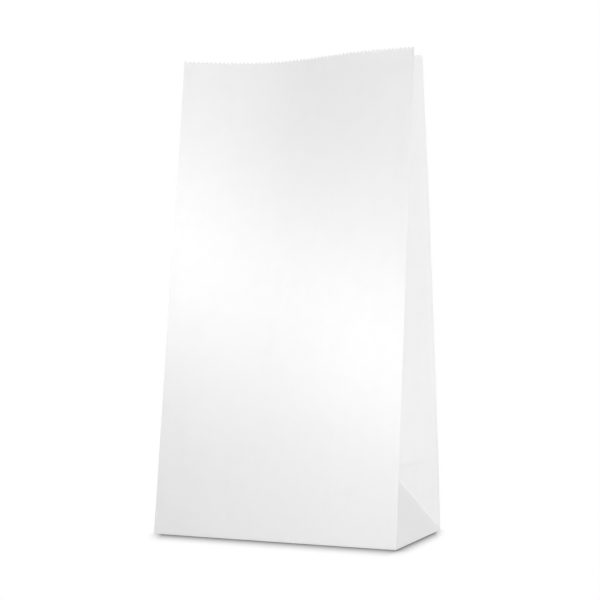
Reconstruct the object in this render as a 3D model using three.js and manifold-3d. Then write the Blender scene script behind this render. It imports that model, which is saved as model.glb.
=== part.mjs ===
// Plain paper party favor bag: one sheet, folded and glued into a gusseted tube with a flat base.
// It stands open on its base. +Z is up, the wide front panel faces -Y and the gussets are at -X and +X.
// The origin is the centre of the underside. Lengths are millimetres.
import * as THREE from "three";
import { mergeVertices } from "three/addons/utils/BufferGeometryUtils.js";
import Module from "manifold-3d";

// Size of the erected bag: 5 in wide, 3 in deep and 9 1/2 in of paper from the base to the mouth.
const BAG_WIDTH = 127;
const BAG_DEPTH = 76.2;
const BAG_HEIGHT = 241.3;
const PAPER = 0.15;
// How far the sheet is cut longer at the rear of the mouth.
const REAR_RISE = 2.1;

// Where the four upright folds reach the mouth, measured inwards from the base rectangle.
const FRONT_LEFT_INSET = 4.0;
const FRONT_LEFT_SET_BACK = 20.0;
const FRONT_RIGHT_OUTSET = 1.4;
const FRONT_RIGHT_SET_BACK = 18.1;
const REAR_RIGHT_INSET = 2.7;
const REAR_RIGHT_SET_BACK = 31.1;
const REAR_LEFT_INSET = 1.5;
const REAR_LEFT_SET_BACK = 16.0;

// The front of the mouth is an S: three sine waves along the panel, each pushed inwards.
const FRONT_WAVES = [8.9, 3.4, -0.5];
// The curve of the front panel fades towards the base with this power of the height.
const FRONT_FADE = 0.8;

// Pinked edge of the mouth.
const TOOTH_PITCH = 2.117;
const TOOTH_DEPTH = 1.2;
// Plain band under the teeth.
const RIM_BAND = 4.5;

// Glued seam down the rear panel: distance of its free edge from the right fold, lap, and run-out.
const SEAM_FROM_FOLD = 84;
const SEAM_LAP = 12;
const SEAM_RUN_OUT = 6;

// The front lip of the base lies over the rear lip by this much.
const LIP_LAP = 12.7;
// Height of the ridge that the fold of the flat packed bag leaves across its rear.
const PACKING_RIDGE = 0.3;

// Columns of facets across each part of the tube, and rows above the base folds.
const FRONT_COLUMNS = 24;
const REAR_COLUMNS = 8;
const GUSSET_COLUMNS = 3;
const UPPER_ROWS = 12;

const HALF_WIDTH = BAG_WIDTH / 2;
// Half the depth of the bag is also the width of each half of a gusset.
const HALF_GUSSET = BAG_DEPTH / 2;
// Points nearer to each other than this are one corner.
const SAME_PLACE = 1e-3;

function mix(a, b, share) {
  return a + (b - a) * share;
}

// Upright folds at a length h of paper above the base

function uprightFold(side, front, h, inset, setBack, length) {
  const x = side * (HALF_WIDTH - inset);
  const y = front ? -HALF_GUSSET + setBack : HALF_GUSSET - setBack;
  const z = Math.sqrt(length * length - setBack * setBack - inset * inset);
  return new THREE.Vector3(x, y, h > 0 ? z : 0);
}

function ridgeAt(h) {
  return PACKING_RIDGE * Math.max(0, 1 - Math.abs(h - HALF_GUSSET) / (HALF_GUSSET / 2));
}

function foldsAt(h) {
  const t = h / BAG_HEIGHT;
  const rearLength = h + REAR_RISE * t;
  const ridge = ridgeAt(h);
  return {
    frontLeft: uprightFold(-1, true, h, FRONT_LEFT_INSET * t, FRONT_LEFT_SET_BACK * t, h),
    frontRight: uprightFold(1, true, h, -FRONT_RIGHT_OUTSET * t, FRONT_RIGHT_SET_BACK * t, h),
    rearRight: uprightFold(
      1, false, h, REAR_RIGHT_INSET * t * t, REAR_RIGHT_SET_BACK * t - ridge, rearLength),
    rearLeft: uprightFold(
      -1, false, h, REAR_LEFT_INSET * t * t, REAR_LEFT_SET_BACK * t - ridge, rearLength),
  };
}

// Gussets

// The point where the two slanting base creases meet the centre crease. The base triangle tips inwards
// until its tip is half a gusset away from both upright folds.
function gussetTip(side) {
  const folds = foldsAt(BAG_HEIGHT);
  const front = side > 0 ? folds.frontRight : folds.frontLeft;
  const rear = side > 0 ? folds.rearRight : folds.rearLeft;
  const lean = (BAG_DEPTH - (rear.y - front.y)) / 2 / BAG_HEIGHT;
  const tilt = Math.acos(Math.sqrt((1 - lean) / (1 + lean)));
  return new THREE.Vector3(
    side * (HALF_WIDTH - HALF_GUSSET * Math.sin(tilt)), 0, HALF_GUSSET * Math.cos(tilt));
}

// The centre crease above that point: half a gusset away from the front fold and from the rear fold.
function gussetCrease(side, h) {
  const tip = gussetTip(side);
  if (h <= HALF_GUSSET) return tip;
  const folds = foldsAt(h);
  const front = side > 0 ? folds.frontRight : folds.frontLeft;
  const rear = side > 0 ? folds.rearRight : folds.rearLeft;
  const lowFolds = foldsAt(HALF_GUSSET);
  const drop = (side > 0 ? lowFolds.frontRight : lowFolds.frontLeft).z - tip.z;
  const z = (front.z + rear.z) / 2 - drop;
  const reach = (fold) => HALF_GUSSET ** 2 - (fold.z - z) ** 2;
  const acrossX = rear.x - front.x;
  const acrossY = rear.y - front.y;
  const span = Math.hypot(acrossX, acrossY);
  const along = (span * span + reach(front) - reach(rear)) / (2 * span);
  const inwards = Math.sqrt(Math.max(0, reach(front) - along * along));
  return new THREE.Vector3(
    front.x + (acrossX * along - side * acrossY * inwards) / span,
    front.y + (acrossY * along + side * acrossX * inwards) / span,
    z,
  );
}

// Panels

// Points across the front panel, from its left fold to its right fold.
function frontPanel(h) {
  const { frontLeft, frontRight } = foldsAt(h);
  const fade = (h / BAG_HEIGHT) ** FRONT_FADE;
  const points = [];
  for (let i = 0; i <= FRONT_COLUMNS; i++) {
    const s = i / FRONT_COLUMNS;
    const wave = FRONT_WAVES.reduce((sum, depth, k) => sum + depth * Math.sin((k + 1) * Math.PI * s), 0);
    const x = mix(frontLeft.x, frontRight.x, s);
    const y = mix(frontLeft.y, frontRight.y, s) + wave * fade;
    const lean = Math.hypot(y + HALF_GUSSET, x - mix(-HALF_WIDTH, HALF_WIDTH, s));
    const z = Math.sqrt(Math.max(0, h * h - lean * lean));
    points.push({ s, at: new THREE.Vector3(x, y, z), outer: 0, inner: 0 });
  }
  return points;
}

// The rear panel bows outwards by what its own width needs between the two rear folds.
function rearPoint(h, s) {
  const { rearRight, rearLeft } = foldsAt(h);
  const chord = Math.hypot(rearRight.x - rearLeft.x, rearRight.y - rearLeft.y);
  const bow = (2 / Math.PI) * Math.sqrt(chord * Math.max(0, BAG_WIDTH - chord));
  const y = mix(rearRight.y, rearLeft.y, s) + bow * Math.sin(Math.PI * s);
  return new THREE.Vector3(mix(rearRight.x, rearLeft.x, s), y, mix(rearRight.z, rearLeft.z, s));
}

// The seam's edges cut the rear panel into runs. Each run says how far its outer and its inner face
// are lifted at its start and at its end, in sheets of paper.
function rearRuns() {
  const free = SEAM_FROM_FOLD / BAG_WIDTH;
  const end = (SEAM_FROM_FOLD + SEAM_LAP) / BAG_WIDTH;
  const out = (SEAM_FROM_FOLD + SEAM_LAP + SEAM_RUN_OUT) / BAG_WIDTH;
  return [
    { from: 0, to: free, outer: [0, 0], inner: [0, 0], columns: REAR_COLUMNS },
    { from: free, to: free, outer: [0, 1], inner: [0, 0], columns: 1 },
    { from: free, to: end, outer: [1, 1], inner: [0, 0], columns: 2 },
    { from: end, to: end, outer: [1, 1], inner: [0, 1], columns: 1 },
    { from: end, to: out, outer: [1, 0], inner: [1, 0], columns: 1 },
    { from: out, to: 1, outer: [0, 0], inner: [0, 0], columns: REAR_COLUMNS / 2 },
  ];
}

// One ring round the tube, anticlockwise from above, as runs of points between folds or edges.
// Each run starts where the last one ends.

function straightRun(start, end, columns, panel, from, to) {
  const points = [];
  for (let i = 0; i <= columns; i++) {
    const share = i / columns;
    points.push({ s: mix(from, to, share), at: start.clone().lerp(end, share), outer: 0, inner: 0 });
  }
  return { panel, points };
}

function sideRuns(side, h) {
  const folds = foldsAt(h);
  const base = foldsAt(0);
  const first = side > 0 ? [folds.frontRight, base.frontRight] : [folds.rearLeft, base.rearLeft];
  const last = side > 0 ? [folds.rearRight, base.rearRight] : [folds.frontLeft, base.frontLeft];
  const crease = gussetCrease(side, h);
  const share = Math.min(1, h / HALF_GUSSET);
  const nearFirst = h < HALF_GUSSET ? first[1].clone().lerp(crease, share) : crease;
  const nearLast = h < HALF_GUSSET ? last[1].clone().lerp(crease, share) : crease;
  return [
    straightRun(first[0], nearFirst, GUSSET_COLUMNS, "gusset", 0, 1),
    straightRun(nearFirst, nearLast, 1, "base triangle", 0, 0),
    straightRun(nearLast, last[0], GUSSET_COLUMNS, "gusset", 0, 1),
  ];
}

function rearPanel(h) {
  return rearRuns().map((run) => {
    const points = [];
    for (let i = 0; i <= run.columns; i++) {
      const share = i / run.columns;
      const s = mix(run.from, run.to, share);
      const outer = mix(run.outer[0], run.outer[1], share);
      const inner = mix(run.inner[0], run.inner[1], share);
      points.push({ s, at: rearPoint(h, s), outer, inner });
    }
    return { panel: "rear", points };
  });
}

function joinRuns(runs) {
  runs.forEach((run, i) => {
    const last = runs.at(i - 1).points.at(-1);
    run.points[0].outside = last.outside;
    run.points[0].inside = last.inside;
  });
  return runs;
}

// Gives every point of a ring its place on the outer and on the inner face of the paper.
function addFaces(runs, floor) {
  const samePlace = (a, b) => Math.hypot(a.at.x - b.at.x, a.at.y - b.at.y) < SAME_PLACE;
  const all = runs.flatMap((run) => run.points);
  const corners = all.filter((point, i) => !samePlace(point, all.at(i - 1)));
  const outward = (from, to) => new THREE.Vector2(to.y - from.y, from.x - to.x).normalize();
  const shifts = corners.map((corner, i) => {
    const before = corners.at(i - 1).at;
    const after = corners[(i + 1) % corners.length].at;
    const a = outward(before, corner.at);
    const b = outward(corner.at, after);
    const both = a.clone().add(b);
    return both.multiplyScalar(2 / both.lengthSq());
  });
  for (const point of all) {
    const shift = shifts[corners.findIndex((corner) => samePlace(corner, point))];
    const moved = (sheets) => new THREE.Vector3(
      point.at.x + shift.x * sheets * PAPER, point.at.y + shift.y * sheets * PAPER, point.at.z);
    point.outside = moved(point.outer);
    point.inside = moved(point.inner - 1);
    if (floor !== undefined) point.inside.z = floor;
  }
  return joinRuns(runs);
}

function ring(h, floor) {
  const front = { panel: "front", points: frontPanel(h) };
  return addFaces([front, ...sideRuns(1, h), ...rearPanel(h), ...sideRuns(-1, h)], floor);
}

// Pinked mouth

// Teeth on one run: whole teeth fill each panel, so that every fold is in a notch.
function teethOnRun(lowRun, highRun) {
  const lengths = { front: BAG_WIDTH, rear: BAG_WIDTH, gusset: HALF_GUSSET, "base triangle": 0 };
  const count = Math.round(lengths[lowRun.panel] / TOOTH_PITCH);
  const start = lowRun.points[0].s;
  const end = lowRun.points.at(-1).s;
  const stops = [start];
  for (let k = 1; k < 2 * count; k++) {
    const s = k / (2 * count);
    if (s > start + 1e-9 && s < end - 1e-9) stops.push(s);
  }
  stops.push(end);
  const between = (points, s, face, index) => {
    if (end - start < 1e-9) return points.at(index ? -1 : 0)[face];
    const next = Math.max(1, points.findIndex((point) => point.s >= s - 1e-9));
    const a = points[next - 1];
    const b = points[next];
    return a[face].clone().lerp(b[face], (s - a.s) / (b.s - a.s));
  };
  const points = stops.map((s, index) => {
    const phase = (s * count) % 1;
    const rise = 1 - Math.abs(2 * phase - 1);
    const place = (face) =>
      between(lowRun.points, s, face, index).clone().lerp(between(highRun.points, s, face, index), rise);
    return { s, outside: place("outside"), inside: place("inside") };
  });
  return { panel: lowRun.panel, points };
}

function pinkedRing() {
  const notches = ring(BAG_HEIGHT - TOOTH_DEPTH);
  const tips = ring(BAG_HEIGHT);
  return joinRuns(notches.map((run, i) => teethOnRun(run, tips[i])));
}

// Closed surface of the sheet

class Surface {
  constructor() {
    this.keys = new Map();
    this.places = [];
    this.index = [];
  }

  corner(at) {
    const key = [at.x, at.y, at.z].map((value) => Math.round(value * 1e4)).join(" ");
    if (!this.keys.has(key)) {
      this.keys.set(key, this.places.length / 3);
      this.places.push(at.x, at.y, at.z);
    }
    return this.keys.get(key);
  }

  triangle(a, b, c) {
    const corners = [this.corner(a), this.corner(b), this.corner(c)];
    if (new Set(corners).size === 3) this.index.push(...corners);
  }

  // Joins a lower run to an upper run that may have another number of points.
  band(lower, upper, face) {
    const low = lower.points;
    const high = upper.points;
    const share = (points, i) => i / (points.length - 1);
    let i = 0;
    let j = 0;
    while (i < low.length - 1 || j < high.length - 1) {
      const stepLow = j === high.length - 1
        || (i < low.length - 1 && share(low, i + 0.5) < share(high, j + 0.5));
      const next = stepLow ? low[i + 1][face] : high[j + 1][face];
      if (face === "outside") this.triangle(low[i][face], next, high[j][face]);
      else this.triangle(next, low[i][face], high[j][face]);
      if (stepLow) i++;
      else j++;
    }
  }

  fan(points, centre, face) {
    points.forEach((point, i) => {
      const next = points[(i + 1) % points.length];
      if (face === "outside") this.triangle(centre, next[face], point[face]);
      else this.triangle(centre, point[face], next[face]);
    });
  }

  rim(points) {
    points.forEach((point, i) => {
      const next = points[(i + 1) % points.length];
      this.triangle(point.outside, next.outside, next.inside);
      this.triangle(point.outside, next.inside, point.inside);
    });
  }

  geometry() {
    const made = new THREE.BufferGeometry();
    made.setAttribute("position", new THREE.Float32BufferAttribute(this.places, 3));
    made.setIndex(this.index);
    return made;
  }
}

// The base is three sheets thick: the tucked gussets, the rear lip and the front lip.
const BASE_SHEETS = 3;

function openTube() {
  const floor = BASE_SHEETS * PAPER;
  const heights = [0, HALF_GUSSET / 2, HALF_GUSSET, HALF_GUSSET * 1.5];
  const first = heights.at(-1);
  const last = BAG_HEIGHT - TOOTH_DEPTH - RIM_BAND;
  for (let row = 1; row <= UPPER_ROWS; row++) heights.push(mix(first, last, row / UPPER_ROWS));
  const rings = heights.map((h) => ring(h, h === 0 ? floor : undefined));
  rings.push(pinkedRing());
  const surface = new Surface();
  for (let row = 1; row < rings.length; row++) {
    rings[row].forEach((run, i) => {
      surface.band(rings[row - 1][i], run, "outside");
      surface.band(rings[row - 1][i], run, "inside");
    });
  }
  const foot = rings[0].flatMap((run) => run.points);
  surface.fan(foot, new THREE.Vector3(0, 0, 0), "outside");
  surface.fan(foot, new THREE.Vector3(0, 0, floor), "inside");
  surface.rim(rings.at(-1).flatMap((run) => run.points));
  return surface.geometry();
}

// Lips of the base

const wasm = await Module();
wasm.setup();

function solid(geometry) {
  const plain = new THREE.BufferGeometry();
  plain.setAttribute("position", geometry.getAttribute("position"));
  plain.setIndex(geometry.index);
  const merged = mergeVertices(plain, 1e-4);
  return new wasm.Manifold(new wasm.Mesh({
    numProp: 3,
    vertProperties: new Float32Array(merged.getAttribute("position").array),
    triVerts: new Uint32Array(merged.index.array),
  }));
}

// A flat cut into the underside, to a depth in sheets of paper.
function undersideCut(corners, sheets) {
  const below = 1;
  const shape = new THREE.Shape(corners.map(([x, y]) => new THREE.Vector2(x, y)));
  const depth = below + sheets * PAPER;
  const cut = new THREE.ExtrudeGeometry(shape, { depth, bevelEnabled: false });
  cut.translate(0, 0, -below);
  return solid(cut);
}

// Both lips narrow at 45 degrees from the corners of the base. The front lip is the lowest sheet, the
// rear lip shows behind it one sheet up, and the tucked gusset shows as a triangle at each end.
function showLips(bag) {
  const past = 4;
  const reach = HALF_GUSSET + LIP_LAP / 2;
  const x = HALF_WIDTH + past;
  const y = HALF_GUSSET + past;
  const behindFrontLip = [
    [x, -y],
    [x, y],
    [-x, y],
    [-x, -y],
    [-HALF_WIDTH + reach, -HALF_GUSSET + reach],
    [HALF_WIDTH - reach, -HALF_GUSSET + reach],
  ];
  const rightEnd = [[x, -y], [x, y], [HALF_WIDTH - HALF_GUSSET, 0]];
  const leftEnd = [[-x, y], [-x, -y], [HALF_GUSSET - HALF_WIDTH, 0]];
  return bag
    .subtract(undersideCut(behindFrontLip, 1))
    .subtract(undersideCut(rightEnd, 2))
    .subtract(undersideCut(leftEnd, 2));
}

function meshGeometry(body) {
  const mesh = body.getMesh();
  const made = new THREE.BufferGeometry();
  made.setAttribute("position", new THREE.BufferAttribute(mesh.vertProperties, mesh.numProp));
  made.setIndex(new THREE.BufferAttribute(mesh.triVerts, 1));
  made.computeVertexNormals();
  return made;
}

// Bright white uncoated paper.
const paper = new THREE.MeshStandardMaterial({ color: 0xf4f3ef, roughness: 0.75, metalness: 0 });
const bag = new THREE.Mesh(meshGeometry(showLips(solid(openTube()))), paper);
bag.name = "paper_bag";

const group = new THREE.Group();
group.name = "party favor bag";
group.add(bag);

export default group;
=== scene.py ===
import math

import bpy
import numpy as np
from mathutils import Matrix, Vector


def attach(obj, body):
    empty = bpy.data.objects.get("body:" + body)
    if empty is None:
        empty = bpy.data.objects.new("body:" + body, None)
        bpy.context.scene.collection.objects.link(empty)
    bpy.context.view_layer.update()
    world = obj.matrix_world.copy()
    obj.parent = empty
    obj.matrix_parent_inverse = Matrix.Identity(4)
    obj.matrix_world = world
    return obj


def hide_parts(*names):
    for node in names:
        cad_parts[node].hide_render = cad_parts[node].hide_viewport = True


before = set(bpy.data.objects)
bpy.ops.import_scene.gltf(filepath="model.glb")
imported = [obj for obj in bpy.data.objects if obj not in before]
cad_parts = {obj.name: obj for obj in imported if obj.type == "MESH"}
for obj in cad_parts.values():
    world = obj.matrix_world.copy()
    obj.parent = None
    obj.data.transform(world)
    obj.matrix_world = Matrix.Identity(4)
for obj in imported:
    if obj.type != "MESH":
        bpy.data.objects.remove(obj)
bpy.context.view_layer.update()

# The folded sheet
# One sheet of bright white bag paper. It is glued into a tube with two side gussets, and each gusset is
# creased down its middle and folded inwards. Erected, it stands 5 in wide and 3 in deep.

INCH = 0.0254
BAG_WIDTH = 5 * INCH
BAG_DEPTH = 3 * INCH
BAG_HEIGHT = 9.5 * INCH
PAPER = 0.00015
HALF_WIDTH = BAG_WIDTH / 2
HALF_GUSSET = BAG_DEPTH / 2
REAR_RISE = 0.0021

# Where the upright folds reach the mouth, measured inwards from the base rectangle: across, then back.
FRONT_LEFT = (0.0040, 0.0200)
FRONT_RIGHT = (-0.0014, 0.0181)
REAR_RIGHT = (0.0027, 0.0311)
REAR_LEFT = (0.0015, 0.0160)
FRONT_WAVES = (0.0089, 0.0034, -0.0005)
FRONT_FADE = 0.8
PACKING_RIDGE = 0.0003
FOLD_RADIUS = 0.0005
TURN_UNDER = 0.0009
# The least width that is divided by, where a strip narrows to nothing.
TINY = 1e-9

PANELS = (BAG_WIDTH, HALF_GUSSET, HALF_GUSSET, BAG_WIDTH, HALF_GUSSET, HALF_GUSSET)
PANEL_STARTS = np.concatenate([[0], np.cumsum(PANELS)])
AROUND = PANEL_STARTS[-1]


def upright_fold(side, front, h):
    """The place of an upright fold at a length h of paper above the base."""
    t = h / BAG_HEIGHT
    across, back = {
        (-1, True): FRONT_LEFT, (1, True): FRONT_RIGHT, (1, False): REAR_RIGHT, (-1, False): REAR_LEFT,
    }[side, front]
    ridge = PACKING_RIDGE * np.maximum(0, 1 - abs(h - HALF_GUSSET) / (HALF_GUSSET / 2))
    inset = across * (t if front else t * t)
    set_back = back * t - (0 if front else ridge)
    length = h if front else h * (1 + REAR_RISE / BAG_HEIGHT)
    x = side * (HALF_WIDTH - inset)
    y = -HALF_GUSSET + set_back if front else HALF_GUSSET - set_back
    z = np.sqrt(np.maximum(0, length**2 - set_back**2 - inset**2))
    return np.stack([x, y + 0 * h, z], axis=-1)


def gusset_tip(side):
    """The tip of the tipped base triangle, where its two slanting creases meet the centre crease."""
    top = np.array(BAG_HEIGHT)
    mouth = upright_fold(side, False, top)[1] - upright_fold(side, True, top)[1]
    lean = (BAG_DEPTH - mouth) / 2 / BAG_HEIGHT
    tilt = math.acos(math.sqrt((1 - lean) / (1 + lean)))
    return np.array([side * (HALF_WIDTH - HALF_GUSSET * math.sin(tilt)), 0, HALF_GUSSET * math.cos(tilt)])


def gusset_crease(side, h):
    """The centre crease: half a gusset from the front fold and half a gusset from the rear fold."""
    front = upright_fold(side, True, h)
    rear = upright_fold(side, False, h)
    tip = gusset_tip(side)
    drop = upright_fold(side, True, np.array(HALF_GUSSET))[2] - tip[2]
    z = (front[..., 2] + rear[..., 2]) / 2 - drop
    reach_front = HALF_GUSSET**2 - (front[..., 2] - z) ** 2
    reach_rear = HALF_GUSSET**2 - (rear[..., 2] - z) ** 2
    over = rear - front
    span = np.hypot(over[..., 0], over[..., 1])
    along = (span**2 + reach_front - reach_rear) / (2 * span)
    inwards = np.sqrt(np.maximum(0, reach_front - along**2))
    x = front[..., 0] + (over[..., 0] * along - side * over[..., 1] * inwards) / span
    y = front[..., 1] + (over[..., 1] * along + side * over[..., 0] * inwards) / span
    low = (h <= HALF_GUSSET)[..., None]
    return np.where(low, tip, np.stack([x, y, z], axis=-1))


def front_panel(s, h):
    """A point of the front panel, a share s of its width from its left fold."""
    left = upright_fold(-1, True, h)
    right = upright_fold(1, True, h)
    fade = (np.maximum(0, h) / BAG_HEIGHT) ** FRONT_FADE
    wave = sum(depth * np.sin((k + 1) * math.pi * s) for k, depth in enumerate(FRONT_WAVES))
    x = left[..., 0] + (right[..., 0] - left[..., 0]) * s
    y = left[..., 1] + (right[..., 1] - left[..., 1]) * s + wave * fade
    lean = np.hypot(y + HALF_GUSSET, x - (-HALF_WIDTH + BAG_WIDTH * s))
    return np.stack([x, y, np.sqrt(np.maximum(0, h**2 - lean**2))], axis=-1)


def rear_panel(s, h):
    """A point of the rear panel, a share s of its width from its right fold. The panel bows outwards."""
    right = upright_fold(1, False, h)
    left = upright_fold(-1, False, h)
    chord = np.hypot(right[..., 0] - left[..., 0], right[..., 1] - left[..., 1])
    bow = (2 / math.pi) * np.sqrt(chord * np.maximum(0, BAG_WIDTH - chord))
    place = right + (left - right) * s[..., None]
    place[..., 1] += bow * np.sin(math.pi * s)
    return place


def gusset(side, across, h):
    """A point of a gusset, across metres from its first fold as the tube is followed anticlockwise."""
    zero = 0 * h
    first = upright_fold(side, side > 0, h)
    last = upright_fold(side, side < 0, h)
    crease = gusset_crease(side, h)
    reach = np.clip(h, 0, HALF_GUSSET)
    share = (reach / HALF_GUSSET)[..., None]
    near_first = upright_fold(side, side > 0, zero) * (1 - share) + crease * share
    near_last = upright_fold(side, side < 0, zero) * (1 - share) + crease * share
    half = np.where(h < HALF_GUSSET, reach, HALF_GUSSET)
    middle = np.maximum(TINY, 2 * HALF_GUSSET - 2 * half)
    in_first = np.clip(across / np.maximum(half, TINY), 0, 1)[..., None]
    in_middle = np.clip((across - half) / middle, 0, 1)[..., None]
    in_last = np.clip((across - 2 * HALF_GUSSET + half) / np.maximum(half, TINY), 0, 1)[..., None]
    past_first = (across > half)[..., None]
    past_middle = (across > 2 * HALF_GUSSET - half)[..., None]
    place = first + (near_first - first) * in_first
    place = np.where(past_first, near_first + (near_last - near_first) * in_middle, place)
    return np.where(past_middle, near_last + (last - near_last) * in_last, place)


def sharp_sheet(u, h):
    """The sheet with knife-sharp folds: u metres round the tube, h metres of paper above the base edge.

    Below the base edge the paper turns under, and rises by one sheet at the rear and by two at the ends.
    """
    u = u % AROUND
    up = np.maximum(0, h)
    under = np.maximum(0, -h)
    front = front_panel(np.clip(u / BAG_WIDTH, 0, 1), up)
    right = gusset(1, np.clip(u - PANEL_STARTS[1], 0, BAG_DEPTH), up)
    rear = rear_panel(np.clip((u - PANEL_STARTS[3]) / BAG_WIDTH, 0, 1), up)
    left = gusset(-1, np.clip(u - PANEL_STARTS[4], 0, BAG_DEPTH), up)
    turned = np.minimum(1, under / TURN_UNDER)
    front[..., 1] += under
    right[..., 0] -= under
    right[..., 2] += 2 * PAPER * turned
    rear[..., 1] -= under
    rear[..., 2] += PAPER * turned
    left[..., 0] += under
    left[..., 2] += 2 * PAPER * turned
    front[..., 0] *= 1 - under / HALF_WIDTH
    rear[..., 0] *= 1 - under / HALF_WIDTH
    right[..., 1] *= 1 - under / HALF_GUSSET
    left[..., 1] *= 1 - under / HALF_GUSSET
    place = np.where((u >= PANEL_STARTS[1])[..., None], right, front)
    place = np.where((u >= PANEL_STARTS[3])[..., None], rear, place)
    return np.where((u >= PANEL_STARTS[4])[..., None], left, place)


def folded_sheet(u, h):
    """The same sheet with every fold and crease rounded to the radius that bag paper takes."""
    steps = np.array([-1, -0.5, 0, 0.5, 1]) * FOLD_RADIUS
    weights = np.array([1, 2, 3, 2, 1]) / 9
    total = np.zeros(u.shape + (3,))
    for du, wu in zip(steps, weights):
        for dh, wh in zip(steps, weights):
            total += wu * wh * sharp_sheet(u + du, h + dh)
    return total


# Glued seam and cutting lines of the sheet
# The two long edges of the sheet overlap down the rear panel, where the outer one ends in a free edge.
# The last few millimetres of that edge have no glue under them and stand off the sheet below a little.
# The lines of the mesh follow the pinking at the mouth, the folds, and both edges of the seam.

TEETH_ACROSS = 60
TOOTH_PITCH = BAG_WIDTH / TEETH_ACROSS
TOOTH_DEPTH = 0.0012
SEAM_FROM_FOLD = 0.084
SEAM_LAP = 0.012
SEAM_RUN_OUT = 0.006
SEAM_DRY_MARGIN = 0.0035
SEAM_STANDS_OFF = 0.00022
SEAM_HELD_BELOW = 0.03
BASE_SHEETS = 3
FLOOR = BASE_SHEETS * PAPER
# Extra lines at these distances beside each fold carry its rounding.
BESIDE_FOLD = (0.0002, 0.00045, 0.00075)
# No other line comes nearer than this to an edge of the seam.
CLEAR_OF_SEAM = 0.0003
# Rows above the base triangle: a few as close together as those below, then the rest up to the rim.
ROWS_PAST_TIP = 4
HIGH_ROWS = 51
# Half the distance over which the slope of the paper is measured.
SLOPE_STEP = 0.00005

free_edge = PANEL_STARTS[3] + SEAM_FROM_FOLD
hidden_edge = free_edge + SEAM_LAP
seam_end = hidden_edge + SEAM_RUN_OUT
seam_edges = [free_edge, hidden_edge]
columns = list(np.arange(0, round(AROUND / TOOTH_PITCH) * 2) * TOOTH_PITCH / 2)
for fold in PANEL_STARTS[:-1]:
    columns += [(fold + side * gap) % AROUND for side in (-1, 1) for gap in BESIDE_FOLD]
columns = [u for u in columns if min(abs(u - edge) for edge in seam_edges) > CLEAR_OF_SEAM]
columns = sorted([(u, 0) for u in columns] + [(edge, side) for edge in seam_edges for side in (0, 1)])
u_line = np.array([u for u, _ in columns])
past_edge = np.array([side for _, side in columns])

in_lap = (u_line > free_edge) | ((u_line == free_edge) & (past_edge == 1))
before_end = (u_line < hidden_edge) | ((u_line == hidden_edge) & (past_edge == 0))
ramp = np.clip((seam_end - u_line) / (seam_end - hidden_edge), 0, 1)
outer_lift = np.where(in_lap, np.where(before_end, 1, ramp), 0)
inner_lift = np.where(in_lap & ~before_end, ramp, 0)
dry = np.clip(1 - (u_line - free_edge) / SEAM_DRY_MARGIN, 0, 1) * in_lap

base_step = TOOTH_PITCH / 2
rim_height = BAG_HEIGHT - TOOTH_DEPTH
low_rows = np.arange(1, round(HALF_GUSSET / base_step) + ROWS_PAST_TIP + 1) * base_step
high_rows = np.linspace(low_rows[-1], rim_height, HIGH_ROWS + 1)[1:]
turn_rows = np.array([-3, -2, -1, 0, 1, 2]) * TURN_UNDER / 3
h_line = np.concatenate([turn_rows, low_rows, high_rows])

u_grid, h_grid = np.meshgrid(u_line, h_line)
place = folded_sheet(u_grid, h_grid)
along_u = folded_sheet(u_grid + SLOPE_STEP, h_grid) - folded_sheet(u_grid - SLOPE_STEP, h_grid)
along_h = folded_sheet(u_grid, h_grid + SLOPE_STEP) - folded_sheet(u_grid, h_grid - SLOPE_STEP)
outward = np.cross(along_u, along_h)
outward /= np.linalg.norm(outward, axis=-1, keepdims=True)
upward = along_h / np.linalg.norm(along_h, axis=-1, keepdims=True)

held = np.clip(h_line / SEAM_HELD_BELOW, 0, 1)
stands_off = SEAM_STANDS_OFF * held[:, None] * dry[None, :]
outside = place + outward * ((outer_lift * PAPER)[None, :] + stands_off)[:, :, None]
outside[..., 2] = np.maximum(0, outside[..., 2])
inside = place + outward * ((inner_lift - 1) * PAPER)[None, :, None]
first_inner = len(turn_rows)
inside = inside[first_inner:]
inside_foot = inside[0].copy()
inside_foot[:, 2] = FLOOR

# Base
# The lower ends of the tube are folded under and glued: first the two gussets are tucked in, then the
# rear lip goes over them, then the front lip over both. Each lip narrows at 45 degrees from the corners.

LIP_LAP = 0.0127
LIP_REACH = HALF_GUSSET + LIP_LAP / 2
# The two gussets' halves, as they are numbered in PANELS.
FIRST_HALVES = (1, 4)
LAST_HALVES = (2, 5)

points = []
faces = []
around = []
paper_height = []
up_line = []
out_line = []


def add_points(places, u, h, up=None, out=None):
    """Adds points at one height of paper, with the sheet's ways up and out. Gives their numbers."""
    start = len(points)
    for i, where in enumerate(places):
        points.append(tuple(where))
        around.append(float(u[i]))
        paper_height.append(float(h))
        up_line.append(tuple(up[i]) if up is not None else (0, 0, 0))
        out_line.append(tuple(out[i]) if out is not None else (0, 0, 0))
    return list(range(start, start + len(places)))


def add_band(low, high, outer, u, h):
    """Joins two rings of points. Where a slanting base crease crosses a face, the face is cut along it."""
    count = len(low)
    for i in range(count):
        k = (i + 1) % count
        a, b, c, d = low[i], low[k], high[k], high[i]
        panel = int(np.searchsorted(PANEL_STARTS, u[i] + TINY, side="right")) - 1
        if h < HALF_GUSSET and panel in FIRST_HALVES:
            parts = [(a, b, c), (a, c, d)]
        elif h < HALF_GUSSET and panel in LAST_HALVES:
            parts = [(a, b, d), (b, c, d)]
        else:
            parts = [(a, b, c, d)]
        faces.extend(part if outer else part[::-1] for part in parts)


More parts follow.
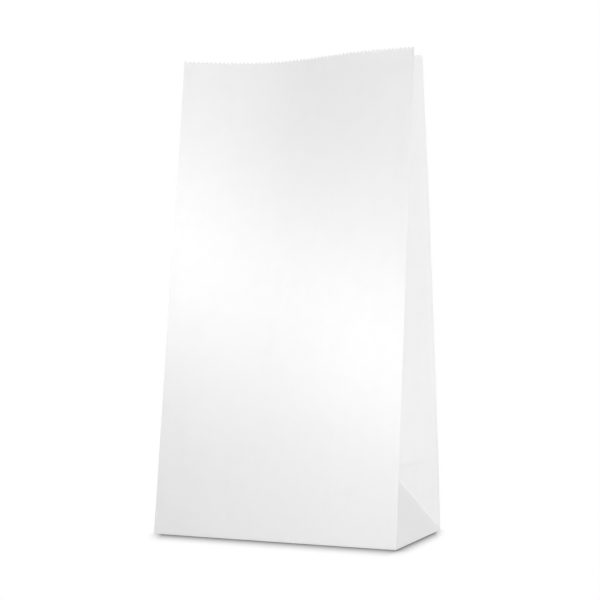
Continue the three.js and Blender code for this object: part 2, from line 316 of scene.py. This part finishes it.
outer_rings = [add_points(outside[j], u_line, h_line[j], upward[j], outward[j]) for j in range(len(h_line))]
inner_rings = [add_points(inside_foot, u_line, 0)]
for j in range(first_inner, len(h_line)):
    inner_rings.append(add_points(inside[j - first_inner], u_line, h_line[j], upward[j], outward[j]))
for j in range(len(h_line) - 1):
    add_band(outer_rings[j], outer_rings[j + 1], True, u_line, (h_line[j] + h_line[j + 1]) / 2)
for j in range(len(inner_rings) - 1):
    row = max(0, j - 1) + first_inner
    add_band(inner_rings[j], inner_rings[j + 1], False, u_line, h_line[row] + base_step / 2)
rim_out, rim_in = outer_rings[-1], inner_rings[-1]
for i in range(len(u_line)):
    k = (i + 1) % len(u_line)
    faces.append((rim_out[i], rim_out[k], rim_in[k], rim_in[i]))

# Inside, the floor of the bag.
middle = add_points([(0, 0, FLOOR)], [0], 0)[0]
for i in range(len(u_line)):
    faces.append((middle, inner_rings[0][i], inner_rings[0][(i + 1) % len(u_line)]))

# Underneath, the front lip, the rear lip and the ends of the tucked gussets, each with its own edge.
foot_ring = outer_rings[0]
corner_at = [int(np.argmin(abs(u_line - PANEL_STARTS[k]))) for k in (0, 1, 3, 4)]
foot_front = foot_ring[corner_at[0]:corner_at[1] + 1]
foot_right = foot_ring[corner_at[1]:corner_at[2] + 1]
foot_rear = foot_ring[corner_at[2]:corner_at[3] + 1]
foot_left = foot_ring[corner_at[3]:] + [foot_ring[corner_at[0]]]


def underside_point(x, y, sheets):
    return add_points([(x, y, sheets * PAPER)], [0], 0)[0]


tip_x = HALF_WIDTH - HALF_GUSSET
lip_x = HALF_WIDTH - LIP_REACH
lip_y = LIP_REACH - HALF_GUSSET
right_tip = [underside_point(tip_x, 0, sheets) for sheets in (0, 1, 2)]
left_tip = [underside_point(-tip_x, 0, sheets) for sheets in (0, 1, 2)]
right_lip = [underside_point(lip_x, lip_y, sheets) for sheets in (0, 1)]
left_lip = [underside_point(-lip_x, lip_y, sheets) for sheets in (0, 1)]


def fan_under(centre, ring):
    faces.extend((centre, b, a) for a, b in zip(ring, ring[1:]))


fan_under(right_lip[0], foot_front)
faces.append((foot_front[-1], right_tip[0], right_lip[0]))
faces.append((foot_front[0], right_lip[0], left_lip[0]))
faces.append((foot_front[0], left_lip[0], left_tip[0]))
fan_under(right_tip[2], foot_right)
fan_under(left_tip[2], foot_left)
fan_under(right_lip[1], foot_rear)
faces.append((foot_rear[0], right_lip[1], right_tip[1]))
faces.append((foot_rear[-1], left_lip[1], right_lip[1]))
faces.append((foot_rear[-1], left_tip[1], left_lip[1]))
faces.append((foot_front[-1], right_tip[1], right_tip[0]))
faces.append((foot_front[-1], right_tip[2], right_tip[1]))
faces.append((foot_rear[0], right_tip[1], right_tip[2]))
faces.append((foot_front[0], left_tip[0], left_tip[1]))
faces.append((foot_front[0], left_tip[1], left_tip[2]))
faces.append((foot_rear[-1], left_tip[2], left_tip[1]))
faces.append((right_tip[0], right_tip[1], right_lip[1], right_lip[0]))
faces.append((left_tip[0], left_lip[0], left_lip[1], left_tip[1]))
faces.append((right_lip[0], right_lip[1], left_lip[1], left_lip[0]))

bag_mesh = bpy.data.meshes.new("paper_bag_sheet")
bag_mesh.from_pydata(points, [], faces)
for name, values, kind in (
    ("around", around, "FLOAT"), ("paper_height", paper_height, "FLOAT"),
    ("paper_up", up_line, "FLOAT_VECTOR"), ("paper_out", out_line, "FLOAT_VECTOR"),
):
    layer = bag_mesh.attributes.new(name, kind, "POINT")
    key = "value" if kind == "FLOAT" else "vector"
    layer.data.foreach_set(key, np.array(values, dtype=np.float32).ravel())
bag_mesh.update()
bag = bpy.data.objects.new("paper_bag_sheet", bag_mesh)
bpy.context.scene.collection.objects.link(bag)

# Bag paper
# Smooth bright white paper: an even fibre mat, a little cloudy and faintly streaked down the bag, matte
# with a slight sheen from the drying cylinder. Some of the light that falls on it comes through.

ROUGHNESS = 0.5
GLAZE = 0.4
THROUGH = 0.2
DARKEST = (0.928, 0.928, 0.928, 1)
PALEST = (0.952, 0.952, 0.952, 1)
# Grains a metre of the coarse and fine clouds in the paper, its streaks, and the fibres of its surface.
COARSE_CLOUDS = 130
FINE_CLOUDS = 700
STREAKS = 300
FIBRES = 2600
STREAK_STRETCH = 22
# Shares of the fine clouds and the streaks beside the coarse clouds, and the range of their sum.
FINE_SHARE = 0.6
STREAK_SHARE = 0.45
CLOUD_RANGE = (0.72, 1.33)
FIBRE_DEPTH = 0.00002
FIBRE_STRENGTH = 0.25

paper = bpy.data.materials.new("white_bag_paper")
paper.use_nodes = True
nodes = paper.node_tree.nodes
links = paper.node_tree.links
skin = nodes["Principled BSDF"]
skin.inputs["Roughness"].default_value = ROUGHNESS
skin.inputs["Specular IOR Level"].default_value = GLAZE

where = nodes.new("ShaderNodeTexCoord")


def paper_noise(scale, detail, stretch=1.0):
    """Noise of so many grains a metre, drawn out along the height of the bag."""
    place = nodes.new("ShaderNodeMapping")
    place.inputs["Scale"].default_value = (scale, scale, scale / stretch)
    grain = nodes.new("ShaderNodeTexNoise")
    grain.inputs["Scale"].default_value = 1
    grain.inputs["Detail"].default_value = detail
    links.new(where.outputs["Object"], place.inputs["Vector"])
    links.new(place.outputs[0], grain.inputs["Vector"])
    return grain.outputs["Fac"]


def added(first, second, share):
    """The first value plus a share of the second."""
    node = nodes.new("ShaderNodeMath")
    node.operation = "MULTIPLY_ADD"
    links.new(second, node.inputs[0])
    node.inputs[1].default_value = share
    links.new(first, node.inputs[2])
    return node.outputs[0]


clouds = added(paper_noise(COARSE_CLOUDS, detail=3), paper_noise(FINE_CLOUDS, detail=3), FINE_SHARE)
cloudy = added(clouds, paper_noise(STREAKS, detail=1, stretch=STREAK_STRETCH), STREAK_SHARE)
evened = nodes.new("ShaderNodeMapRange")
evened.inputs["From Min"].default_value, evened.inputs["From Max"].default_value = CLOUD_RANGE
links.new(cloudy, evened.inputs["Value"])
tint = nodes.new("ShaderNodeValToRGB")
for stop, (position, colour) in zip(tint.color_ramp.elements, ((0.0, DARKEST), (1.0, PALEST))):
    stop.position = position
    stop.color = colour
links.new(evened.outputs["Result"], tint.inputs["Fac"])
relief = nodes.new("ShaderNodeBump")
relief.inputs["Strength"].default_value = FIBRE_STRENGTH
relief.inputs["Distance"].default_value = FIBRE_DEPTH
links.new(paper_noise(FIBRES, detail=3), relief.inputs["Height"])
glow = nodes.new("ShaderNodeBsdfTranslucent")
sheet = nodes.new("ShaderNodeMixShader")
sheet.inputs[0].default_value = THROUGH
for shader, socket in ((skin, "Base Color"), (glow, "Color")):
    links.new(tint.outputs["Color"], shader.inputs[socket])
    links.new(relief.outputs["Normal"], shader.inputs["Normal"])
links.new(skin.outputs[0], sheet.inputs[1])
links.new(glow.outputs[0], sheet.inputs[2])
links.new(sheet.outputs[0], nodes["Material Output"].inputs["Surface"])

# Pinking and lie of the sheet
# The mouth is cut with a saw-toothed knife, so every edge there is a row of small points. The paper
# between the folds isn't quite flat: it keeps long, very low waves from the roll and from handling.

WAVE_DEPTH = 0.00035
WAVES_A_METRE = 16.0
WAVE_SEED = 3.0
# The waves fade out towards the base below this height.
WAVES_FULL_FROM = 0.04
# Points of the sheet less than this below the rim are on the rim.
RIM_TOLERANCE = 0.0001
# Edges where the paper turns by more than this are drawn sharp.
SHARP_FROM = math.radians(42)

tree = bpy.data.node_groups.new("pinked_mouth_and_waves", "GeometryNodeTree")
tree.interface.new_socket("Geometry", in_out="INPUT", socket_type="NodeSocketGeometry")
sizes = {}
for label, value in (
    ("Tooth Pitch", TOOTH_PITCH), ("Tooth Depth", TOOTH_DEPTH), ("Rim Height", rim_height),
    ("Wave Depth", WAVE_DEPTH), ("Wave Scale", WAVES_A_METRE), ("Wave Seed", WAVE_SEED),
):
    socket = tree.interface.new_socket(label, in_out="INPUT", socket_type="NodeSocketFloat")
    sizes[socket.identifier] = value
paper_input = tree.interface.new_socket("Paper", in_out="INPUT", socket_type="NodeSocketMaterial")
tree.interface.new_socket("Geometry", in_out="OUTPUT", socket_type="NodeSocketGeometry")
start = tree.nodes.new("NodeGroupInput")
end = tree.nodes.new("NodeGroupOutput")


def attribute(name, kind="FLOAT"):
    node = tree.nodes.new("GeometryNodeInputNamedAttribute")
    node.data_type = kind
    node.inputs["Name"].default_value = name
    return node.outputs["Attribute"]


def calculate(operation, *values):
    node = tree.nodes.new("ShaderNodeMath")
    node.operation = operation
    for socket, value in zip(node.inputs, values):
        if isinstance(value, (int, float)):
            socket.default_value = value
        else:
            tree.links.new(value, socket)
    return node.outputs[0]


def scaled(vector, amount):
    node = tree.nodes.new("ShaderNodeVectorMath")
    node.operation = "SCALE"
    tree.links.new(vector, node.inputs[0])
    tree.links.new(amount, node.inputs["Scale"])
    return node.outputs[0]


tooth_phase = calculate("FRACT", calculate("DIVIDE", attribute("around"), start.outputs["Tooth Pitch"]))
tooth_rise = calculate("SUBTRACT", 1, calculate("ABSOLUTE", calculate(
    "SUBTRACT", calculate("MULTIPLY", tooth_phase, 2), 1)))
at_rim = calculate("GREATER_THAN", attribute("paper_height"), calculate(
    "SUBTRACT", start.outputs["Rim Height"], RIM_TOLERANCE))
tooth_height = calculate("MULTIPLY", tooth_rise, start.outputs["Tooth Depth"])
tooth_move = calculate("MULTIPLY", tooth_height, at_rim)

wave_noise = tree.nodes.new("ShaderNodeTexNoise")
wave_noise.noise_dimensions = "4D"
wave_noise.inputs["Detail"].default_value = 1
tree.links.new(start.outputs["Wave Scale"], wave_noise.inputs["Scale"])
tree.links.new(start.outputs["Wave Seed"], wave_noise.inputs["W"])
here = tree.nodes.new("GeometryNodeInputPosition")
tree.links.new(here.outputs[0], wave_noise.inputs["Vector"])
wave_fade = calculate("MINIMUM", 1, calculate("MULTIPLY", attribute("paper_height"), 1 / WAVES_FULL_FROM))
wave = calculate("SUBTRACT", wave_noise.outputs[0], 0.5)
wave_move = calculate("MULTIPLY", calculate("MULTIPLY", wave, start.outputs["Wave Depth"]), wave_fade)

shift = tree.nodes.new("ShaderNodeVectorMath")
tree.links.new(scaled(attribute("paper_up", "FLOAT_VECTOR"), tooth_move), shift.inputs[0])
tree.links.new(scaled(attribute("paper_out", "FLOAT_VECTOR"), wave_move), shift.inputs[1])
move = tree.nodes.new("GeometryNodeSetPosition")
tree.links.new(start.outputs["Geometry"], move.inputs["Geometry"])
tree.links.new(shift.outputs[0], move.inputs["Offset"])
real = tree.nodes.new("GeometryNodeRealizeInstances")
tree.links.new(move.outputs[0], real.inputs[0])
finish = tree.nodes.new("GeometryNodeSetMaterial")
tree.links.new(real.outputs[0], finish.inputs["Geometry"])
tree.links.new(start.outputs["Paper"], finish.inputs["Material"])
tree.links.new(finish.outputs[0], end.inputs["Geometry"])

modifier = bag.modifiers.new("pinking", "NODES")
modifier.node_group = tree
for identifier, value in sizes.items():
    modifier[identifier] = value
modifier[paper_input.identifier] = paper
seen = bag.evaluated_get(bpy.context.evaluated_depsgraph_get())
pinked = bpy.data.meshes.new_from_object(seen)
bag.modifiers.remove(modifier)
bag.data = pinked
for name in ("around", "paper_height", "paper_up", "paper_out"):
    pinked.attributes.remove(pinked.attributes[name])
pinked.shade_smooth()
pinked.set_sharp_from_angle(angle=SHARP_FROM)
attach(bag, "root")
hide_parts("paper_bag")

# Camera
# The photograph looks at the front panel from a little to the right, from below the mouth, with a long
# lens. The camera stands 0.76 m away.

FILM_WIDTH = 36
PHOTO_WIDTH_IN_PIXELS = 600
FOCAL_LENGTH_IN_PIXELS = 1486.5
YAW = 21.348
PITCH = -0.875
ROLL = 0.605
AIM_IN_BAG_WIDTHS = (-0.00853, 0, 0.929)
DISTANCE_IN_BAG_WIDTHS = 5.97079

camera_data = bpy.data.cameras.new("camera")
camera_data.sensor_width = FILM_WIDTH
camera_data.lens = FILM_WIDTH * FOCAL_LENGTH_IN_PIXELS / PHOTO_WIDTH_IN_PIXELS
camera = bpy.data.objects.new("camera", camera_data)
bpy.context.scene.collection.objects.link(camera)
bpy.context.scene.camera = camera
yaw, pitch, roll = math.radians(YAW), math.radians(PITCH), math.radians(ROLL)
ahead = Vector((-math.sin(yaw) * math.cos(pitch), math.cos(yaw) * math.cos(pitch), -math.sin(pitch)))
level = Vector((math.cos(yaw), math.sin(yaw), 0))
above = level.cross(ahead)
aim = Vector(AIM_IN_BAG_WIDTHS) * BAG_WIDTH
back = ahead * DISTANCE_IN_BAG_WIDTHS * BAG_WIDTH
turn = Matrix((
    level * math.cos(roll) + above * math.sin(roll),
    above * math.cos(roll) - level * math.sin(roll),
    -ahead,
)).transposed()
camera.matrix_world = Matrix.Translation(aim - back) @ turn.to_4x4()

# Floor
# A sweep that is seen as plain white. A painted shadow darkens it in a narrow dark line round the base:
# there a mask turns it into a dark matte, which the lamps light and the bag's real shadow still falls on.
# It is widest at the front, where it fades out within about an inch.

FLOOR_REACH = 4.0
SWEEP_COLOUR = (0.8, 0.8, 0.8, 1)
# Colour of the dark matte inside the painted shadow. The lamps still light it and the bag still shades it.
SHADED_COLOUR = (0.28, 0.28, 0.28, 1)
# How far the painted shadow reaches past each edge of the base. It also ends past a line just inside the
# base's left and right corners, as they stand in the direction across the camera's view.
SHADE_FRONT = 0.026
SHADE_RIGHT = 0.0102
SHADE_LEFT = 0.014
SHADE_REAR = 0.007
SHADE_ENDS = 0.008
SHADE_INSET = 0.0045
SHADE_ANGLE = math.radians(21.35)

floor_mesh = bpy.data.meshes.new("floor")
floor_mesh.from_pydata([
    (-FLOOR_REACH, -FLOOR_REACH, 0), (FLOOR_REACH, -FLOOR_REACH, 0),
    (FLOOR_REACH, FLOOR_REACH, 0), (-FLOOR_REACH, FLOOR_REACH, 0),
], [], [(0, 1, 2, 3)])
floor = bpy.data.objects.new("floor", floor_mesh)
bpy.context.scene.collection.objects.link(floor)
sweep = bpy.data.materials.new("white_sweep")
sweep.use_nodes = True
nodes = sweep.node_tree.nodes
links = sweep.node_tree.links
nodes.clear()


def combined(operation, first, second):
    node = nodes.new("ShaderNodeMath")
    node.operation = operation
    links.new(first, node.inputs[0])
    links.new(second, node.inputs[1])
    return node.outputs[0]


def shows_white():
    """1 for the rays that see the white background: camera, transmission and glossy rays."""
    rays = nodes.new("ShaderNodeLightPath")
    seen = combined("MAXIMUM", rays.outputs["Is Camera Ray"], rays.outputs["Is Transmission Ray"])
    return combined("MAXIMUM", seen, rays.outputs["Is Glossy Ray"])


def shade_beyond(coordinate, edge, width):
    """The painted shadow's mask: 1 up to an edge of the base, falling evenly to 0 at a width beyond it."""
    node = nodes.new("ShaderNodeMapRange")
    node.inputs["From Min"].default_value = edge
    node.inputs["From Max"].default_value = edge + width
    node.inputs["To Min"].default_value = 1
    node.inputs["To Max"].default_value = 0
    links.new(coordinate, node.inputs["Value"])
    return node.outputs["Result"]


where = nodes.new("ShaderNodeTexCoord")
split = nodes.new("ShaderNodeSeparateXYZ")
links.new(where.outputs["Object"], split.inputs[0])
across = nodes.new("ShaderNodeVectorMath")
across.operation = "DOT_PRODUCT"
across.inputs[1].default_value = (math.cos(SHADE_ANGLE), math.sin(SHADE_ANGLE), 0)
links.new(where.outputs["Object"], across.inputs[0])
reach = HALF_WIDTH * math.cos(SHADE_ANGLE) + HALF_GUSSET * math.sin(SHADE_ANGLE) - SHADE_INSET
# The painted shadow's mask round the base, multiplied over all edges and squared so that it fades softly.
shade = shade_beyond(split.outputs["X"], HALF_WIDTH, SHADE_RIGHT)
for coordinate, edge, width in (
    (split.outputs["X"], -HALF_WIDTH, -SHADE_LEFT), (split.outputs["Y"], HALF_GUSSET, SHADE_REAR),
    (split.outputs["Y"], -HALF_GUSSET, -SHADE_FRONT), (across.outputs["Value"], reach, SHADE_ENDS),
    (across.outputs["Value"], -reach, -SHADE_ENDS),
):
    shade = combined("MULTIPLY", shade, shade_beyond(coordinate, edge, width))
shade = combined("MULTIPLY", shade, shade)
seen = shows_white()
lit_white = nodes.new("ShaderNodeEmission")
shaded = nodes.new("ShaderNodeBsdfDiffuse")
shaded.inputs["Color"].default_value = SHADED_COLOUR
matte = nodes.new("ShaderNodeBsdfDiffuse")
matte.inputs["Color"].default_value = SWEEP_COLOUR
# Rays that see white get white emission, and within the painted shadow the dark matte, which also takes the
# real shadow.
as_seen = nodes.new("ShaderNodeMixShader")
links.new(shade, as_seen.inputs[0])
links.new(lit_white.outputs[0], as_seen.inputs[1])
links.new(shaded.outputs[0], as_seen.inputs[2])
either = nodes.new("ShaderNodeMixShader")
links.new(seen, either.inputs[0])
links.new(matte.outputs[0], either.inputs[1])
links.new(as_seen.outputs[0], either.inputs[2])
output = nodes.new("ShaderNodeOutputMaterial")
links.new(either.outputs[0], output.inputs["Surface"])
floor_mesh.materials.append(sweep)

# Lights
# A soft white room. A narrow strip lamp hangs across the front panel, close to it and slanting down to
# the right, and draws the pale band there. Soft lamps stand further off on all sides.

ROOM_LIGHT = 0.365

scene = bpy.context.scene
world = bpy.data.worlds.new("white_room")
scene.world = world
world.use_nodes = True
nodes = world.node_tree.nodes
links = world.node_tree.links
nodes.clear()
seen = shows_white()
brightness = nodes.new("ShaderNodeMapRange")
brightness.inputs["To Min"].default_value = ROOM_LIGHT
brightness.inputs["To Max"].default_value = 1.0
links.new(seen, brightness.inputs["Value"])
room = nodes.new("ShaderNodeBackground")
room.inputs["Color"].default_value = (1, 1, 1, 1)
links.new(brightness.outputs["Result"], room.inputs["Strength"])
output = nodes.new("ShaderNodeOutputWorld")
links.new(room.outputs[0], output.inputs["Surface"])


def lamp(name, at, towards, size, watts, slant=0):
    """A rectangular lamp that faces a point, turned by a slant in degrees about its own axis."""
    data = bpy.data.lights.new(name, "AREA")
    data.shape = "RECTANGLE"
    data.size, data.size_y = size
    data.energy = watts
    made = bpy.data.objects.new(name, data)
    scene.collection.objects.link(made)
    facing = (Vector(towards) - Vector(at)).to_track_quat("-Z", "Y")
    spin = Matrix.Rotation(math.radians(slant), 4, "Z")
    made.matrix_world = Matrix.Translation(at) @ facing.to_matrix().to_4x4() @ spin
    made.visible_camera = False


lamp("strip_lamp", at=(-0.021, -0.115, 0.133), towards=(-0.021, 0, 0.133), size=(0.26, 0.02),
     watts=0.0465, slant=-29)
lamp("front_right_lamp", at=(0.477, -0.988, 0.289), towards=(0.03, -0.03, 0.12), size=(0.26, 0.26),
     watts=5.95)
lamp("right_lamp", at=(0.42, 0.17, 0.08), towards=(0.06, 0, 0.08), size=(0.4, 0.15), watts=0.5)
lamp("rear_lamp", at=(-0.22, 1.1, 0.12), towards=(0, 0.03, 0.12), size=(0.6, 0.2), watts=5.6)
lamp("left_lamp", at=(-0.8, 0.1, 0.12), towards=(-0.05, 0, 0.12), size=(0.5, 0.22), watts=2.2)

scene.view_settings.view_transform = "Standard"
